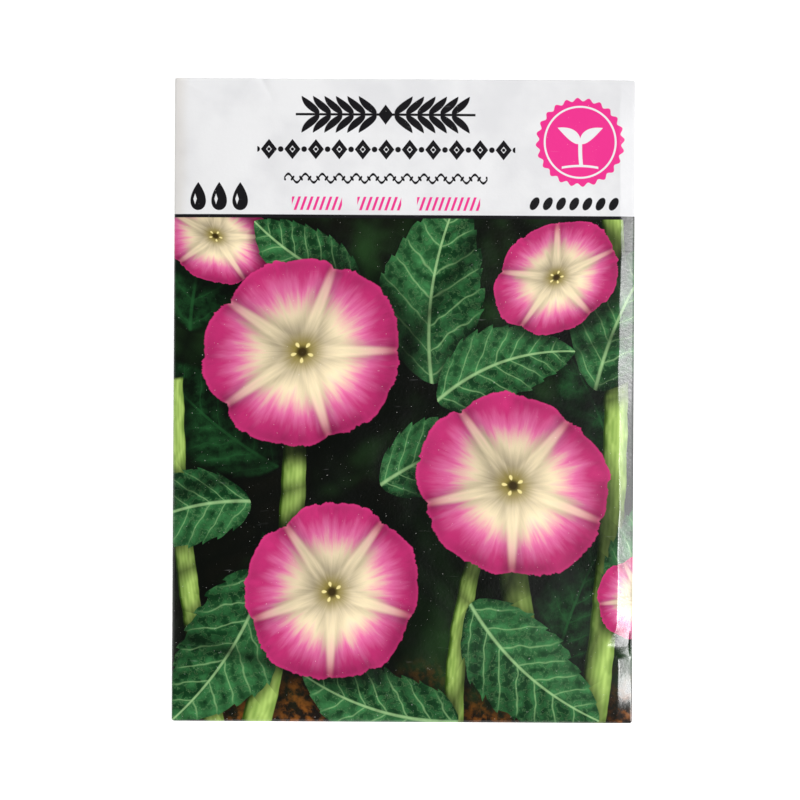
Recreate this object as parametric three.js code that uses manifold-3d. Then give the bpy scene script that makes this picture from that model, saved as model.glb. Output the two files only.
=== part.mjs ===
// A filled and sealed paper seed packet, lying on its back with its printed front up.
// One sheet is folded into a pouch: the front panel carries the back panel on its left fold, a narrow seam
// flap on its right fold, and one flap at each end. Three films of glue hold the flaps, and seeds lie inside.
// Millimetres, +Z up out of the front, +Y towards the heading, origin on the surface under the middle of the
// packet's outline.
import * as THREE from "three";
import { mergeVertices } from "three/addons/utils/BufferGeometryUtils.js";
import Module from "manifold-3d";

// Driving dimensions.
const PACKET_WIDTH = 81.8;
const PACKET_HEIGHT = 114.3;
const PAPER = 0.12; // caliper of the coated sheet
const GLUE_GAP = 0.12; // space that a film of glue and its clearances take between two layers
const GLUE_FILM = 0.06;
const FOLD_REACH = 0.42; // how far a fold stands out past the panel that it ends
const FOLD_NOSE = 0.25; // how much of that reach is curved
const FOLDED_EDGE = 0.95; // height of the front panel where it turns into a fold
const BOTTOM_FLAP = 12;
const TOP_FLAP = 15;
const SEAM_FLAP = 11;
const FLAP_TAPER = 3.5; // how much narrower a flap gets at each side towards its free edge
const BACK_EDGE_INSET = 1.1; // the back panel's free edge lies this far inside the right fold

// The front panel's swell.
const SWELL_AT_SEEDS = 1.8; // above the folded edge
const SWELL_AT_HEADING = 1.25;
const SWELL_CHANGE = { from: -30, to: 35 }; // where the one swell eases into the other
const SEED_END_RAMP = 16; // length over which the swell rises from the bottom fold
const SEED_END_EASE = 2.2;
const HEADING_END_RAMP = 9;
const HEADING_END_EASE = 2;
const LEFT_EASE = 8; // a high power keeps the front full until close to its left fold
const RIGHT_EASE = 2.4;
const SLOPE_WIDTH = 2.6; // the sloping strip along the right fold
const SLOPE_SHARE = 0.56; // share of the swell that is left where that strip starts
const SLOPE_SOFTNESS = 0.04; // how sharply the front bends into the strip, as a share of the swell

// The back panel steps over each end flap.
const STEP_CLEARANCE = 0.5; // between a flap's free edge and the foot of the step
const STEP_LENGTH = 4;

// The films of glue keep back from the edges of the paper.
const END_GLUE_SIDE_INSET = 2;
const END_GLUE_INSET = 2.5;
const SEAM_GLUE_INNER_INSET = 1.5;
const SEAM_GLUE_OUTER_INSET = 0.6;
const SEAM_GLUE_END_INSET = 1;

// Seeds.
const SEED_DIAMETER = 1.8;
const SEED_SPREAD = 0.05; // seeds differ in size by up to this share either way
const SEED_SPACING = 0.73; // of a diameter, so that neighbours in a row are joined
const SEED_ROW_PITCH = 4;
const SEED_BED = { x: -1, y: -26, halfWidth: 26, halfHeight: 10.5 };
const BED_ROUNDING = 1; // the oval that bounds the bed's rows is this much taller than the bed at each end
const SEED_CLEARANCE = 0.03;
const LOOSE_SEEDS = 12;
const LOOSE_AREA = { x: 0, y: 0, halfWidth: 17, halfHeight: 12 };

// Grid of the folded sheet.
const LEFT_ZONE = 6; // the front's columns are closer together in this zone by the left fold
const LEFT_COLUMNS = 3;
const FRONT_COLUMNS = 10;
const SLOPE_COLUMNS = 3;
const BEND_GAP = 0.5; // from the last column on the flat of the front to the slope
const BACK_COLUMNS = 2;
const SEAM_COLUMNS = 2;
const END_ROWS = 4;
const STEP_ROWS = 3;
const BODY_ROWS = 12;
const FLAP_ROWS = 3;
const FOLD_STEPS = 3; // points on the curve of each fold
const NOSE_STEP = 2; // the one of them that reaches out furthest
const FALL_PROBE = 0.05; // the front's fall at its edge is measured over this distance

// The sheet is described by its middle layer, half a caliper inside each outer face.
const halfWidth = (PACKET_WIDTH - PAPER) / 2;
const halfHeight = (PACKET_HEIGHT - PAPER) / 2;
const foldX = halfWidth - FOLD_REACH;
const foldY = halfHeight - FOLD_REACH;
const slopeStart = halfWidth - SLOPE_WIDTH;
const layerPitch = PAPER + GLUE_GAP;
const flapLevel = PAPER / 2;

const clamp01 = (value) => Math.min(1, Math.max(0, value));
const smoothstep = (value) => clamp01(value) ** 2 * (3 - 2 * clamp01(value));
const between = (from, to, share) => from + (to - from) * share;
const spread = (from, to, steps) =>
  Array.from({ length: steps + 1 }, (_, i) => between(from, to, i / steps));

// Repeatable random numbers from 0 to 1.
function seededRandom(seed) {
  let state = seed >>> 0;
  return () => {
    state = (Math.imul(state, 1664525) + 1013904223) >>> 0;
    return state / 2 ** 32;
  };
}

// How far the front panel swells along the packet's length: most over the seeds, nothing at the ends.
function swellAlong(y) {
  const fromBottom = clamp01((y + halfHeight) / SEED_END_RAMP);
  const fromTop = clamp01((halfHeight - y) / HEADING_END_RAMP);
  const ends = (1 - (1 - fromBottom) ** SEED_END_EASE) * (1 - (1 - fromTop) ** HEADING_END_EASE);
  const towardsHeading = smoothstep((y - SWELL_CHANGE.from) / (SWELL_CHANGE.to - SWELL_CHANGE.from));
  return between(SWELL_AT_SEEDS, SWELL_AT_HEADING, towardsHeading) * ends;
}

// The share of that swell across the width. The left side stays full and then drops to its sharp fold, while
// the right side eases down and then bends into a narrow strip that slopes to a softer fold.
function swellAcross(x) {
  if (x <= 0) return 1 - (-x / foldX) ** LEFT_EASE;
  const dome = 1 - (1 - SLOPE_SHARE) * (x / slopeStart) ** RIGHT_EASE;
  const strip = (SLOPE_SHARE * (foldX - x)) / (foldX - slopeStart);
  return 0.5 * (dome + strip - Math.hypot(dome - strip, SLOPE_SOFTNESS));
}

const frontLevel = (x, y) => FOLDED_EDGE + swellAlong(y) * Math.max(0, swellAcross(x));

// The back panel lies on the surface, and steps up over the flap at each end.
const lowStepFoot = -halfHeight + BOTTOM_FLAP + STEP_CLEARANCE;
const highStepFoot = halfHeight - TOP_FLAP - STEP_CLEARANCE;

function backLevel(y) {
  const overBottom = smoothstep(1 - (y - lowStepFoot) / STEP_LENGTH);
  const overTop = smoothstep(1 - (highStepFoot - y) / STEP_LENGTH);
  return PAPER / 2 + layerPitch * Math.max(overBottom, overTop);
}

const seamLevel = (y) => backLevel(y) + layerPitch;

// A point on the curve of a fold: how far it reaches out, and its height. Level gives the front's height
// along a line across its edge. The fold leaves the front without a kink, rounds its nose on an ellipse that
// the front's own line touches, and ends flat.
function foldCurve(level, edge, endLevel, step) {
  const inset = FALL_PROBE * Math.sign(edge);
  const fall = (level(edge - inset) - level(edge)) / FALL_PROBE;
  const height = level(edge) - endLevel - fall * (FOLD_REACH - FOLD_NOSE);
  const noseHeight = (height ** 2 - (fall * FOLD_NOSE) ** 2) / (2 * height);
  const touch = Math.atan((fall * FOLD_NOSE) / noseHeight);
  const share = (2 * (step - 1)) / (FOLD_STEPS - 1);
  const quarter = Math.PI / 2;
  const angle = share < 1 ? between(touch, quarter, share) : quarter * share;
  return {
    reach: FOLD_REACH - FOLD_NOSE + FOLD_NOSE * Math.sin(angle),
    level: endLevel + noseHeight * (1 + Math.cos(angle)),
  };
}

function sideFold(side, y, step) {
  const endLevel = side < 0 ? backLevel(y) : seamLevel(y);
  return foldCurve((x) => frontLevel(x, y), side * foldX, endLevel, step);
}

function endFold(side, x, step) {
  return foldCurve((y) => frontLevel(x, y), side * foldY, flapLevel, step);
}

// The blank's columns, from the back panel's free edge over the left fold to the end of the seam flap.
function sheetColumns() {
  const steps = spread(1, FOLD_STEPS, FOLD_STEPS - 1);
  const frontX = [
    ...spread(-foldX, -foldX + LEFT_ZONE, LEFT_COLUMNS),
    ...spread(-foldX + LEFT_ZONE, slopeStart - BEND_GAP, FRONT_COLUMNS).slice(1),
    ...spread(slopeStart, foldX, SLOPE_COLUMNS),
  ];
  return [
    ...spread(halfWidth - BACK_EDGE_INSET, -foldX, BACK_COLUMNS).map((x) => ({ panel: "back", x })),
    ...steps.toReversed().map((step) => ({ panel: "fold", side: -1, step })),
    ...frontX.map((x) => ({ panel: "front", x })),
    ...steps.map((step) => ({ panel: "fold", side: 1, step })),
    ...spread(foldX, foldX - SEAM_FLAP, SEAM_COLUMNS).map((x) => ({ panel: "seam", x })),
  ];
}

// The blank's rows, from the bottom flap's free edge over the front to the top flap's free edge.
function sheetRows() {
  const steps = spread(1, FOLD_STEPS, FOLD_STEPS - 1);
  const bodyY = [
    ...spread(-foldY, lowStepFoot, END_ROWS),
    ...spread(lowStepFoot, lowStepFoot + STEP_LENGTH, STEP_ROWS).slice(1),
    ...spread(lowStepFoot + STEP_LENGTH, highStepFoot - STEP_LENGTH, BODY_ROWS).slice(1),
    ...spread(highStepFoot - STEP_LENGTH, highStepFoot, STEP_ROWS).slice(1),
    ...spread(highStepFoot, foldY, END_ROWS).slice(1),
  ];
  return [
    ...spread(1, 0, FLAP_ROWS).map((share) => ({ panel: "flap", side: -1, share })),
    ...steps.toReversed().map((step) => ({ panel: "fold", side: -1, step })),
    ...bodyY.map((y) => ({ panel: "body", y })),
    ...steps.map((step) => ({ panel: "fold", side: 1, step })),
    ...spread(0, 1, FLAP_ROWS).map((share) => ({ panel: "flap", side: 1, share })),
  ];
}

function bodyPoint(column, y) {
  if (column.panel === "fold") {
    const { reach, level } = sideFold(column.side, y, column.step);
    return new THREE.Vector3(column.side * (foldX + reach), y, level);
  }
  const levels = { back: backLevel(y), seam: seamLevel(y), front: frontLevel(column.x, y) };
  return new THREE.Vector3(column.x, y, levels[column.panel]);
}

// Round a corner the side fold passes into the end fold. Past the nose the blank is cut away there. The
// larger of the two steps is the place on the fold's curve, and the smaller one gives the angle round it.
function cornerPoint(column, row) {
  const step = Math.max(column.step, row.step);
  if (step > NOSE_STEP) return null;
  const smaller = Math.min(column.step, row.step) / step / 2;
  const share = column.step === step ? smaller : 1 - smaller;
  const beside = sideFold(column.side, row.side * foldY, step);
  const below = endFold(row.side, column.side * foldX, step);
  const reach = between(beside.reach, below.reach, share);
  const angle = (share * Math.PI) / 2;
  return new THREE.Vector3(
    column.side * (foldX + reach * Math.cos(angle)),
    row.side * (foldY + reach * Math.sin(angle)),
    between(beside.level, below.level, share),
  );
}

// The middle layer's point at a column and a row of the blank, or null where the blank is cut away.
function sheetPoint(column, row) {
  if (row.panel === "body") return bodyPoint(column, row.y);
  if (row.panel === "fold" && column.panel === "fold") return cornerPoint(column, row);
  if (column.panel !== "front") return null;
  if (row.panel === "fold") {
    const { reach, level } = endFold(row.side, column.x, row.step);
    return new THREE.Vector3(column.x, row.side * (foldY + reach), level);
  }
  const length = row.side < 0 ? BOTTOM_FLAP : TOP_FLAP;
  const x = column.x * (1 - (FLAP_TAPER * row.share) / foldX);
  const y = row.side * (foldY - (length - FOLD_REACH) * row.share);
  return new THREE.Vector3(x, y, flapLevel);
}

// Thickens a grid of middle-layer points into one closed solid. A null point is a hole in the grid.
function thickSheet(grid, thickness) {
  const rows = grid.length;
  const columns = grid[0].length;
  const at = (r, c) => (grid[r] && grid[r][c]) || null;
  const corners = (r, c) => [at(r, c), at(r, c + 1), at(r + 1, c + 1), at(r + 1, c)];
  const whole = (r, c) => corners(r, c).every(Boolean);
  const cellNormal = (r, c) => {
    const [a, b, d, e] = corners(r, c);
    const diagonal = new THREE.Vector3().subVectors(e, b);
    return new THREE.Vector3().subVectors(d, a).cross(diagonal).normalize();
  };
  const positions = [];
  const outer = grid.map((line) => line.map(() => -1));
  for (let r = 0; r < rows; r++) {
    for (let c = 0; c < columns; c++) {
      const here = at(r, c);
      if (!here) continue;
      const offset = new THREE.Vector3();
      for (const [i, j] of [[r - 1, c - 1], [r - 1, c], [r, c - 1], [r, c]]) {
        if (whole(i, j)) offset.add(cellNormal(i, j));
      }
      offset.normalize().multiplyScalar(thickness / 2);
      outer[r][c] = positions.length / 3;
      positions.push(...here.clone().add(offset), ...here.clone().sub(offset));
    }
  }
  const triangles = [];
  const quad = (a, b, c, d) => triangles.push(a, b, c, a, c, d);
  for (let r = 0; r < rows - 1; r++) {
    for (let c = 0; c < columns - 1; c++) {
      if (!whole(r, c)) continue;
      const [a, b, d, e] = [outer[r][c], outer[r][c + 1], outer[r + 1][c + 1], outer[r + 1][c]];
      quad(a, b, d, e);
      quad(a + 1, e + 1, d + 1, b + 1);
      if (!whole(r - 1, c)) quad(b, a, a + 1, b + 1);
      if (!whole(r, c + 1)) quad(d, b, b + 1, d + 1);
      if (!whole(r + 1, c)) quad(e, d, d + 1, e + 1);
      if (!whole(r, c - 1)) quad(a, e, e + 1, a + 1);
    }
  }
  const geometry = new THREE.BufferGeometry();
  geometry.setAttribute("position", new THREE.Float32BufferAttribute(positions, 3));
  geometry.setIndex(triangles);
  return geometry;
}

// The folded sheet with its five panels.
function envelopeGeometry() {
  const columns = sheetColumns();
  const grid = sheetRows().map((row) => columns.map((column) => sheetPoint(column, row)));
  return thickSheet(grid, PAPER);
}

// The glue between an end flap and the back panel.
function endGlueGeometry(side, flapLength) {
  const width = 2 * (foldX - FLAP_TAPER - END_GLUE_SIDE_INSET);
  const length = flapLength - 2 * END_GLUE_INSET;
  const geometry = new THREE.BoxGeometry(width, length, GLUE_FILM);
  geometry.translate(0, side * (halfHeight - END_GLUE_INSET - length / 2), PAPER + GLUE_GAP / 2);
  return geometry;
}

// The glue between the seam flap and the back panel, which follows the back panel's steps.
function seamGlueGeometry() {
  const inner = foldX - SEAM_FLAP + SEAM_GLUE_INNER_INSET;
  const outer = halfWidth - BACK_EDGE_INSET - SEAM_GLUE_OUTER_INSET;
  const reach = foldY - SEAM_GLUE_END_INSET;
  const rows = sheetRows().filter((row) => row.panel === "body" && Math.abs(row.y) < reach);
  const level = (y) => backLevel(y) + layerPitch / 2;
  const grid = rows.map(({ y }) => [
    new THREE.Vector3(inner, y, level(y)),
    new THREE.Vector3(outer, y, level(y)),
  ]);
  return thickSheet(grid, GLUE_FILM);
}

// One seed, an uneven ball at its own turn.
function seedGeometry(random, x, y) {
  const radius = (SEED_DIAMETER / 2) * (1 + SEED_SPREAD * (2 * random() - 1));
  const geometry = new THREE.IcosahedronGeometry(radius, 0);
  geometry.rotateX(Math.PI * random());
  geometry.rotateZ(Math.PI * random());
  geometry.computeBoundingBox();
  const lift = PAPER + SEED_CLEARANCE - geometry.boundingBox.min.z;
  return geometry.translate(x, y, lift);
}

// Where the joined seeds lie: even steps along a line that goes to and fro over an oval bed.
function bedPoints() {
  const route = new THREE.CurvePath();
  const rows = Math.floor((2 * SEED_BED.halfHeight) / SEED_ROW_PITCH);
  const corners = [];
  for (let row = 0; row <= rows; row++) {
    const up = -SEED_BED.halfHeight + (row + 0.5) * ((2 * SEED_BED.halfHeight) / (rows + 1));
    const reach = SEED_BED.halfWidth * Math.sqrt(1 - (up / (SEED_BED.halfHeight + BED_ROUNDING)) ** 2);
    const direction = row % 2 ? -1 : 1;
    for (const side of [-direction, direction]) {
      corners.push(new THREE.Vector3(SEED_BED.x + side * reach, SEED_BED.y + up, 0));
    }
  }
  for (let i = 1; i < corners.length; i++) {
    route.add(new THREE.LineCurve3(corners[i - 1], corners[i]));
  }
  const count = Math.floor(route.getLength() / (SEED_DIAMETER * SEED_SPACING));
  return route.getSpacedPoints(count);
}

const wasm = await Module();
wasm.setup();

// A closed mesh as a solid that can be joined.
function solidOf(geometry) {
  geometry.deleteAttribute("normal");
  geometry.deleteAttribute("uv");
  const merged = mergeVertices(geometry, 1e-4);
  return new wasm.Manifold(
    new wasm.Mesh({
      numProp: 3,
      vertProperties: merged.attributes.position.array,
      triVerts: new Uint32Array(merged.index.array),
    }),
  );
}

function geometryOf(solid) {
  const mesh = solid.getMesh();
  const geometry = new THREE.BufferGeometry();
  geometry.setAttribute("position", new THREE.BufferAttribute(mesh.vertProperties, 3));
  geometry.setIndex(new THREE.BufferAttribute(mesh.triVerts, 1));
  return geometry;
}

// The bed of seeds, joined where they touch along their rows.
function seedBedGeometry() {
  const random = seededRandom(7);
  const seeds = bedPoints().map(({ x, y }) => solidOf(seedGeometry(random, x, y)));
  return geometryOf(seeds.reduce((bed, seed) => bed.add(seed)));
}

// Places for the seeds that lie apart from the bed, no two closer than two diameters.
function loosePlaces() {
  const random = seededRandom(23);
  const places = [];
  while (places.length < LOOSE_SEEDS) {
    const x = LOOSE_AREA.x + LOOSE_AREA.halfWidth * (2 * random() - 1);
    const y = LOOSE_AREA.y + LOOSE_AREA.halfHeight * (2 * random() - 1);
    const clear = places.every((p) => Math.hypot(p.x - x, p.y - y) > 2 * SEED_DIAMETER);
    if (clear) places.push({ x, y });
  }
  return places;
}

const materials = {
  paper: new THREE.MeshStandardMaterial({ color: 0xeaeaec, roughness: 0.32, metalness: 0 }),
  glue: new THREE.MeshStandardMaterial({ color: 0xe9e2c8, roughness: 0.45, metalness: 0 }),
  seed: new THREE.MeshStandardMaterial({ color: 0x5a2f22, roughness: 0.6, metalness: 0 }),
};

const packet = new THREE.Group();

function addPiece(name, geometry, material) {
  geometry.computeVertexNormals();
  const mesh = new THREE.Mesh(geometry, material);
  mesh.name = name;
  packet.add(mesh);
}

addPiece("paper_envelope", envelopeGeometry(), materials.paper);
addPiece("bottom_flap_glue", endGlueGeometry(-1, BOTTOM_FLAP), materials.glue);
addPiece("top_flap_glue", endGlueGeometry(1, TOP_FLAP), materials.glue);
addPiece("side_seam_glue", seamGlueGeometry(), materials.glue);
addPiece("seed_bed", seedBedGeometry(), materials.seed);

const looseRandom = seededRandom(41);
loosePlaces().forEach(({ x, y }, i) => {
  const number = String(i + 1).padStart(2, "0");
  addPiece(`loose_seed_${number}`, seedGeometry(looseRandom, x, y), materials.seed);
});

export default packet;
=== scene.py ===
# A filled paper seed packet on a pale floor, seen from straight above.
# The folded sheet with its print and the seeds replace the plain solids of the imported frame. Sizes
# here are in millimetres in the packet's own frame, and every mesh is scaled to metres when it is
# made. Lamps, floor and camera are in metres.
import math
import random
from collections import namedtuple

import bpy
import numpy as np
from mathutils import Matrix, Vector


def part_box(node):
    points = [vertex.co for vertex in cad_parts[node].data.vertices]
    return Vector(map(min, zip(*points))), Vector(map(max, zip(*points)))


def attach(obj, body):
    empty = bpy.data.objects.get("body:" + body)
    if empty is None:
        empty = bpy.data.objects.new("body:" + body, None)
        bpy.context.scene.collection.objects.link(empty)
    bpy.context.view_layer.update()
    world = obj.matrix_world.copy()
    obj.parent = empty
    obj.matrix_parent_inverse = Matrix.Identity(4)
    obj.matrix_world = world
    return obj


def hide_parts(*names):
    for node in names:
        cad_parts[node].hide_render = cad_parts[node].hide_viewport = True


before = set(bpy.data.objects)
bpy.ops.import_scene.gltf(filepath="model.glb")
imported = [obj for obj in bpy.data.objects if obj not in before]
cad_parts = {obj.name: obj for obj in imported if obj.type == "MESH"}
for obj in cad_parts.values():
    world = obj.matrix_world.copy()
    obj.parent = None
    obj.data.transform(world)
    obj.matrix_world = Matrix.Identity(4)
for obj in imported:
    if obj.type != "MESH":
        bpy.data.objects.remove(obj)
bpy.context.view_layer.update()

MM = 0.001

# Driving sizes, the same as in the packet's solids.
PACKET_WIDTH = 81.8
PACKET_HEIGHT = 114.3
PAPER = 0.12
GLUE_GAP = 0.12
FOLD_REACH = 0.42
FOLD_NOSE = 0.25
FOLDED_EDGE = 0.95
BOTTOM_FLAP = 12.0
TOP_FLAP = 15.0
SEAM_FLAP = 11.0
FLAP_TAPER = 3.5
BACK_EDGE_INSET = 1.1
SWELL_AT_SEEDS = 1.8
SWELL_AT_HEADING = 1.25
SWELL_CHANGE = (-30.0, 35.0)
SEED_END_RAMP = 16.0
SEED_END_EASE = 2.2
HEADING_END_RAMP = 9.0
HEADING_END_EASE = 2.0
LEFT_EASE = 8.0
RIGHT_EASE = 2.4
SLOPE_WIDTH = 2.6
SLOPE_SHARE = 0.56
STEP_CLEARANCE = 0.5
STEP_LENGTH = 4.0
SEED_DIAMETER = 1.8

HALF_WIDTH = (PACKET_WIDTH - PAPER) / 2
HALF_HEIGHT = (PACKET_HEIGHT - PAPER) / 2
FOLD_X = HALF_WIDTH - FOLD_REACH
FOLD_Y = HALF_HEIGHT - FOLD_REACH
SLOPE_START = HALF_WIDTH - SLOPE_WIDTH
LAYER_PITCH = PAPER + GLUE_GAP
FLAP_LEVEL = PAPER / 2

# Grid of the fine sheet: where each stretch of the front starts, and the size of its cells. A fold
# has a number of steps, and the middle one is at its nose.
COLUMN_STRETCHES = (
    (-FOLD_X, 0.3), (-35.0, 0.6), (-30.0, 0.34), (-15.0, 0.85), (24.0, 0.5), (35.2, 0.13),
)
ROW_STRETCHES = ((-FOLD_Y, 0.3), (-52.0, 0.4), (-38.0, 0.9), (42.0, 0.5), (50.0, 0.3))
BACK_CELL = 4.0
SEAM_CELLS = 4
FLAP_CELLS = 6
FOLD_STEPS = 9
NOSE_STEP = (FOLD_STEPS + 1) // 2


def clamp01(value):
    return np.clip(value, 0.0, 1.0)


def smoothstep(value):
    value = clamp01(value)
    return value * value * (3 - 2 * value)


def swell_along(y):
    from_bottom = clamp01((y + HALF_HEIGHT) / SEED_END_RAMP)
    from_top = clamp01((HALF_HEIGHT - y) / HEADING_END_RAMP)
    ends = (1 - (1 - from_bottom) ** SEED_END_EASE) * (1 - (1 - from_top) ** HEADING_END_EASE)
    towards_heading = smoothstep((y - SWELL_CHANGE[0]) / (SWELL_CHANGE[1] - SWELL_CHANGE[0]))
    return (SWELL_AT_SEEDS + (SWELL_AT_HEADING - SWELL_AT_SEEDS) * towards_heading) * ends


# The right-hand slope isn't even. Its top wanders a little, as waves of these heights, lengths and
# shifts, and one pinch pushes it further into the front.
SLOPE_WANDER = ((0.13, 6.5, 0.6), (0.08, 2.3, 0.0), (0.04, 0.9, 1.0))
WANDER_END_EASE = 4
PINCH_Y = -43.4
PINCH_ABOVE = 3.2
PINCH_BELOW = 2.2
PINCH_TOP = 1.8
PINCH_FOOT = 0.2
SLOPE_SOFTNESS = 0.018


def slope_edges(y):
    """How far the slope's top and its foot are pushed in from their even places."""
    wander = sum(height * np.sin(y / length + shift) for height, length, shift in SLOPE_WANDER)
    wander = wander * clamp01((HALF_HEIGHT - np.abs(y)) / WANDER_END_EASE)
    reach = np.where(y > PINCH_Y, PINCH_ABOVE, PINCH_BELOW)
    pinch = clamp01(1 - np.abs(y - PINCH_Y) / reach)
    return wander + PINCH_TOP * pinch, PINCH_FOOT * pinch


def swell_across(x, y):
    left = 1 - clamp01(-x / FOLD_X) ** LEFT_EASE
    dome = 1 - (1 - SLOPE_SHARE) * (clamp01(x / FOLD_X) * FOLD_X / SLOPE_START) ** RIGHT_EASE
    top, foot = slope_edges(y)
    strip = SLOPE_SHARE * (FOLD_X - foot - x) / (FOLD_X - foot - SLOPE_START + top)
    right = 0.5 * (dome + strip - np.hypot(dome - strip, SLOPE_SOFTNESS))
    return np.where(x <= 0, left, np.maximum(right, 0.0))


# A crease falls off to its sides by this power, and starts over this part of its length.
CREASE_SHARPNESS = 1.15
CREASE_START = 1 / 6


def crease(x, y, start, end, width, height):
    """A sharp ridge along a line, or a groove where the height is negative. It fades to its end."""
    dx, dy = end[0] - start[0], end[1] - start[1]
    length = math.hypot(dx, dy)
    along = ((x - start[0]) * dx + (y - start[1]) * dy) / length**2
    off = ((x - start[0]) * dy - (y - start[1]) * dx) / length
    fade = clamp01(1 - along) * smoothstep(1 + along / CREASE_START)
    return height * fade * np.exp(-np.abs(off / width) ** CREASE_SHARPNESS)


def bent_corner(x, y, corner, reach, drop):
    """A corner that is pressed down behind a straight crease."""
    near = (np.abs(x - corner[0]) + np.abs(y - corner[1])) / reach
    return -drop * clamp01(1 - near)


# Waves of the slack sheet: wavelength, height, and the seed of their directions.
SLACK_WAVES = ((34.0, 0.11, 11), (17.0, 0.045, 12), (8.5, 0.02, 13), (4.4, 0.005, 14))
WAVES_IN_EACH = 4
LENGTH_SPREAD = (0.8, 1.25)
SLACK_DROP = 0.16
SLACK_END_EASE = 5
SLACK_SIDE_EASE = 7

# A crease: its start, its end, its width and its height.
CREASES = (
    ((-25.6, 57.1), (-22.9, 52.2), 0.7, -0.36),
    ((-27.4, 57.1), (-29.6, 53.4), 0.7, 0.12),
    ((-40.6, 57.0), (-33.0, 53.2), 0.9, 0.26),
    ((-34.0, 57.0), (-31.5, 54.0), 0.8, -0.07),
    ((24.0, 57.0), (23.0, 54.6), 0.7, 0.06),
    ((30.0, 57.0), (27.0, 53.6), 1.2, -0.1),
    ((40.6, 53.0), (34.5, 55.5), 0.8, 0.12),
)

# A bent corner: its place, how far in its crease lies, and its drop.
BENT_CORNERS = (
    ((HALF_WIDTH, HALF_HEIGHT), 3.8, 0.22),
    ((-HALF_WIDTH, -HALF_HEIGHT), 2.4, 0.12),
    ((HALF_WIDTH, -HALF_HEIGHT), 2.6, 0.16),
)


def slack(x, y):
    """A faint unevenness made of waves that cross in all directions."""
    level = np.zeros_like(x)
    for wavelength, height, seed in SLACK_WAVES:
        draw = random.Random(seed)
        for _ in range(WAVES_IN_EACH):
            turn, shift = draw.uniform(0, math.pi), draw.uniform(0, 2 * math.pi)
            pitch = 2 * math.pi / (wavelength * draw.uniform(*LENGTH_SPREAD))
            along = x * math.cos(turn) + y * math.sin(turn)
            level = level + height / 2 * np.sin(pitch * along + shift)
    return level


def relief(x, y):
    """What handling has done to the front: creases, bent corners and a faint waviness."""
    end_ease = clamp01((HALF_HEIGHT - np.abs(y)) / SLACK_END_EASE)
    side_ease = clamp01((HALF_WIDTH - np.abs(x)) / SLACK_SIDE_EASE)
    marks = sum(crease(x, y, *values) for values in CREASES)
    marks = sum((bent_corner(x, y, *values) for values in BENT_CORNERS), marks)
    return (slack(x, y) - SLACK_DROP) * (end_ease * side_ease) + marks


LAYER_CLEARANCE = 0.02


def front_level(x, y):
    """The front's height, never lower than the layers under it allow."""
    free = FOLDED_EDGE + swell_along(y) * swell_across(x, y) + relief(x, y)
    return np.maximum(free, seam_level(y) + PAPER + LAYER_CLEARANCE)


LOW_STEP_FOOT = -HALF_HEIGHT + BOTTOM_FLAP + STEP_CLEARANCE
HIGH_STEP_FOOT = HALF_HEIGHT - TOP_FLAP - STEP_CLEARANCE


def back_level(y):
    over_bottom = smoothstep(1 - (y - LOW_STEP_FOOT) / STEP_LENGTH)
    over_top = smoothstep(1 - (HIGH_STEP_FOOT - y) / STEP_LENGTH)
    return FLAP_LEVEL + LAYER_PITCH * np.maximum(over_bottom, over_top)


def seam_level(y):
    return back_level(y) + LAYER_PITCH


# The front's fall at its edge is measured over this distance, and the straight run before a fold's
# nose takes at most this share of the fold's height.
FALL_PROBE = 0.05
LARGEST_FALL = 0.45


def fold_curve(level, edge, end_level, step):
    """Points on the curve of a fold, as how far they reach out and their heights. Level gives the
    front's height along a line across its edge. The fold leaves the front without a kink, rounds
    its nose on an ellipse that the front's own line touches, and ends flat."""
    run = FOLD_REACH - FOLD_NOSE
    inset = FALL_PROBE * np.sign(edge)
    fall = np.maximum(level(edge - inset) - level(edge), 0.0) / FALL_PROBE
    height = level(edge) - end_level
    fall = np.minimum(fall, LARGEST_FALL * height / run)
    height = height - fall * run
    nose_height = (height**2 - (fall * FOLD_NOSE) ** 2) / (2 * height)
    touch = np.arctan(fall * FOLD_NOSE / nose_height)
    share = 2 * (step - 1) / (FOLD_STEPS - 1)
    quarter = math.pi / 2
    if share < 1:
        angle = touch + (quarter - touch) * share
    else:
        angle = np.full_like(touch, quarter * share)
    return run + FOLD_NOSE * np.sin(angle), end_level + nose_height * (1 + np.cos(angle))


def side_fold(side, y, step):
    end_level = back_level(y) if side < 0 else seam_level(y)
    return fold_curve(lambda x: front_level(np.full_like(y, x), y), side * FOLD_X, end_level, step)


def end_fold(side, x, step):
    return fold_curve(lambda y: front_level(x, np.full_like(x, y)), side * FOLD_Y, FLAP_LEVEL, step)


def stretched(stretches, end):
    """Grid lines in stretches of even cells, from the first stretch's start to the end."""
    stops = [start for start, _ in stretches] + [end]
    lines = []
    for (start, cell), stop in zip(stretches, stops[1:]):
        lines.append(np.linspace(start, stop, math.ceil((stop - start) / cell), endpoint=False))
    return np.concatenate([*lines, [end]])


# One line of the grid. place is its X or Y on a flat panel, step its number on a fold, counted
# from the front, and unrolled its distance from the front's middle on the flat blank.
Line = namedtuple("Line", "panel unrolled place side step", defaults=(0.0, 0, 0))


FOLD_ARC = math.pi * FOLD_REACH


def fold_lines(side, edge):
    lines = []
    for step in range(1, FOLD_STEPS + 1):
        unrolled = edge + FOLD_ARC * step / (FOLD_STEPS + 1)
        lines.append(Line("fold", side * unrolled, side=side, step=step))
    return lines[::-1] if side < 0 else lines


def flat_lines(panel, side, edge, places):
    """Lines of a flat panel past a fold. Its print runs on from the fold's."""
    start = edge + FOLD_ARC
    return [Line(panel, side * (start + abs(place - side * edge)), place, side) for place in places]


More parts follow.
